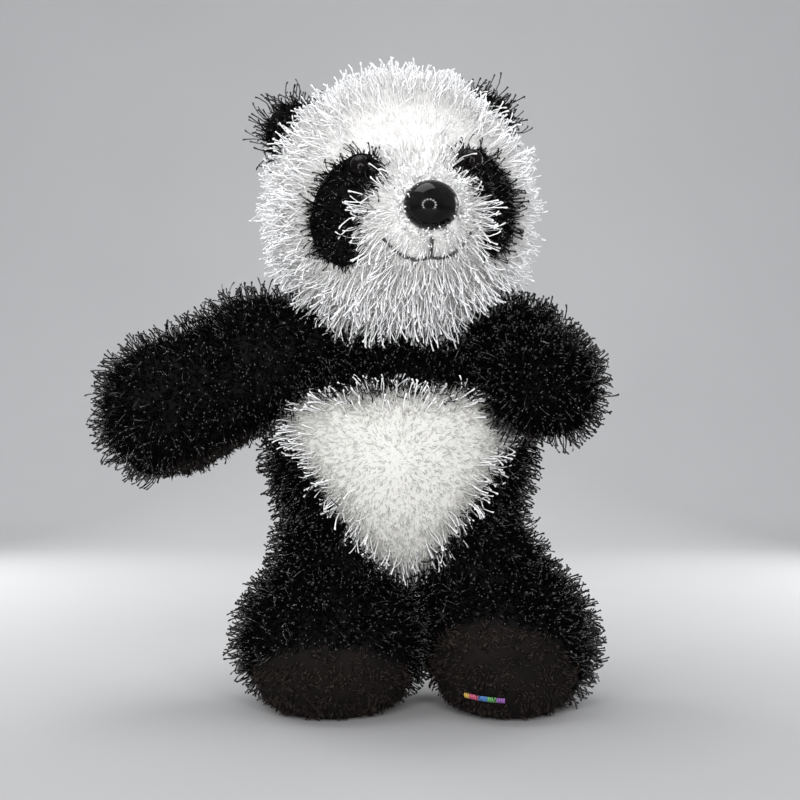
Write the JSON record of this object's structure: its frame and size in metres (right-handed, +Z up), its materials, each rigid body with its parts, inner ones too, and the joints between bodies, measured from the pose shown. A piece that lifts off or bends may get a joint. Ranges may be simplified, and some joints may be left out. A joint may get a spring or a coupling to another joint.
{
  "type": "plush keychain",
  "caption": "Small long-pile plush bear cub with a pale head and belly and dark limbs, soft joints at neck, arms and legs, and a snap hook with a split key ring at its back.",
  "frame": {"origin": "middle of the bounding box of the standing toy, on the surface under its soles", "axes": "+Z up from the soles to the head, -Y out of the face, +X to the right of someone who looks at the face"},
  "size_m": [0.1324, 0.0946, 0.1741],
  "materials": {
    "white_pile": "long glossy white pile on a knitted backing",
    "black_pile": "long glossy black pile on a knitted backing",
    "sole_velour": "short matte black velour",
    "nose_plastic": "polished black moulded plastic",
    "eye_plastic": "polished dark brown moulded plastic",
    "washer_plastic": "natural moulded plastic",
    "black_thread": "twisted embroidery thread",
    "bar_thread": "multicolour satin-stitched bar",
    "fibre_fill": "loose polyester fibre",
    "pellet_fill": "plastic pellets in a thin cloth bag",
    "ribbon": "woven grosgrain ribbon",
    "label_cloth": "blank satin label",
    "nickel": "polished nickel plate",
    "spring_steel": "plain spring wire"
  },
  "bodies": {
    "torso": {"chest_cover": "black_pile", "hip_cover_left": "black_pile", "hip_cover_right": "black_pile", "belly_panel": "white_pile", "torso_cover_back": "black_pile", "torso_stuffing": "fibre_fill", "pellet_bag": "pellet_fill", "tail": "black_pile", "care_label": "label_cloth"},
    "neck": {"neck_seam_thread": "black_thread"},
    "head": {"head_cover_front": "white_pile", "head_cover_back": "white_pile", "head_stuffing": "fibre_fill", "muzzle_cover": "white_pile", "muzzle_stuffing": "fibre_fill", "nose": "nose_plastic", "nose_washer": "washer_plastic", "mouth_thread": "black_thread", "eye_patch_left": "black_pile", "eye_patch_right": "black_pile", "eye_left": "eye_plastic", "eye_right": "eye_plastic", "eye_washer_left": "washer_plastic", "eye_washer_right": "washer_plastic", "ear_left": "black_pile", "ear_right": "black_pile", "hang_loop": "ribbon"},
    "arm_left": {"arm_cover_left": "black_pile", "palm_pad_left": "sole_velour", "arm_stuffing_left": "fibre_fill"},
    "arm_right": {"arm_cover_right": "black_pile", "palm_pad_right": "sole_velour", "arm_stuffing_right": "fibre_fill"},
    "leg_left": {"leg_cover_left": "black_pile", "sole_pad_left": "sole_velour", "leg_stuffing_left": "fibre_fill", "foot_pellets_left": "pellet_fill"},
    "leg_right": {"leg_cover_right": "black_pile", "sole_pad_right": "sole_velour", "leg_stuffing_right": "fibre_fill", "foot_pellets_right": "pellet_fill", "sole_stitch_bar": "bar_thread"},
    "swivel": {"swivel_eye": "nickel"},
    "hook": {"hook_body": "nickel", "gate_pin": "nickel", "gate_spring": "spring_steel"},
    "gate": {"hook_gate": "nickel"},
    "ring": {"split_ring": "nickel"}
  },
  "joints": [
    {"name": "head_turn", "type": "hinge", "parent": "torso", "child": "neck", "pos_m": [0.01474, -0.00132, 0.1046], "axis": [0, 0, 1], "range_deg": [-45, 30], "stiffness_Nm_per_rad": 0.05},
    {"name": "head_nod", "type": "hinge", "parent": "neck", "child": "head", "pos_m": [0.01474, -0.00132, 0.1046], "axis": [0.9816, 0.1908, 0], "range_deg": [-10, 10], "stiffness_Nm_per_rad": 0.5},
    {"name": "arm_left_raise", "type": "hinge", "parent": "torso", "child": "arm_left", "pos_m": [-0.01526, -0.00132, 0.099], "axis": [-0.2356, 0.9719, 0], "range_deg": [-12, 40], "stiffness_Nm_per_rad": 0.08},
    {"name": "arm_right_raise", "type": "hinge", "parent": "torso", "child": "arm_right", "pos_m": [0.04474, -0.00132, 0.099], "axis": [-0.9119, -0.4104, 0], "range_deg": [-12, 24], "stiffness_Nm_per_rad": 0.08},
    {"name": "leg_left_forward", "type": "hinge", "parent": "torso", "child": "leg_left", "pos_m": [-0.00126, -0.00132, 0.047], "axis": [-1, 0, 0], "range_deg": [-10, 35], "stiffness_Nm_per_rad": 0.5},
    {"name": "leg_right_forward", "type": "hinge", "parent": "torso", "child": "leg_right", "pos_m": [0.03274, -0.00132, 0.047], "axis": [-1, 0, 0], "range_deg": [-10, 35], "stiffness_Nm_per_rad": 0.5},
    {"name": "clip_swing", "type": "hinge", "parent": "head", "child": "swivel", "pos_m": [0.00638, 0.04068, 0.1307], "axis": [0.9816, 0.1908, 0], "range_deg": [-3, 90]},
    {"name": "hook_spin", "type": "hinge", "parent": "swivel", "child": "hook", "pos_m": [0.00638, 0.04068, 0.1182], "axis": [0, 0, 1], "continuous": true},
    {"name": "gate_open", "type": "hinge", "parent": "hook", "child": "gate", "pos_m": [0.00543, 0.04558, 0.114], "axis": [-0.9816, -0.1908, 0], "range_deg": [0, 22], "stiffness_Nm_per_rad": 0.02, "springref_deg": -11.46},
    {"name": "ring_swing", "type": "hinge", "parent": "hook", "child": "ring", "pos_m": [0.00638, 0.04068, 0.0972], "axis": [-0.1908, 0.9816, 0], "range_deg": [-25, 25]}
  ]
}
